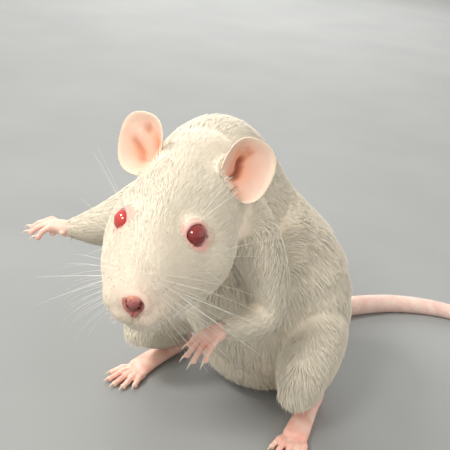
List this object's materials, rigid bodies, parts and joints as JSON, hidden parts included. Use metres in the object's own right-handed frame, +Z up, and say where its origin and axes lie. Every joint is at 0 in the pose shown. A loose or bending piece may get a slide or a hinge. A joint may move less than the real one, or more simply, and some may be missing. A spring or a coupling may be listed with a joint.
{
  "type": "pet rat",
  "caption": "Life-size still model of a white pet rat sitting up on its haunches, one forepaw reached out to its right, tail laid along the floor.",
  "frame": {"origin": "middle of the whole part's box, on the floor it rests on", "axes": "+Z up, the body faces -Y, +X is the animal's left; the head is turned to its left"},
  "size_m": [0.171, 0.2036, 0.1172],
  "materials": {
    "white_coat": "short soft white fur, slightly cream, matt",
    "pink_skin": "thin bare pink skin with fine hairs, half matt",
    "red_eye": "wet glossy dark red"
  },
  "bodies": {
    "root": {"belly": "white_coat", "chest": "white_coat", "ear_left": "pink_skin", "ear_right": "pink_skin", "eye_left": "red_eye", "eye_right": "red_eye", "forearm_left": "white_coat", "forearm_right": "white_coat", "forepaw_left": "pink_skin", "forepaw_right": "pink_skin", "head": "white_coat", "hind_foot_left": "pink_skin", "hind_foot_right": "pink_skin", "lower_jaw": "white_coat", "muzzle": "white_coat", "neck": "white_coat", "rump": "white_coat", "shank_left": "white_coat", "shank_right": "white_coat", "tail_1": "pink_skin", "tail_2": "pink_skin", "tail_3": "pink_skin", "tail_4": "pink_skin", "tail_5": "pink_skin", "thigh_left": "white_coat", "thigh_right": "white_coat", "upper_arm_left": "white_coat", "upper_arm_right": "white_coat"}
  },
  "joints": []
}
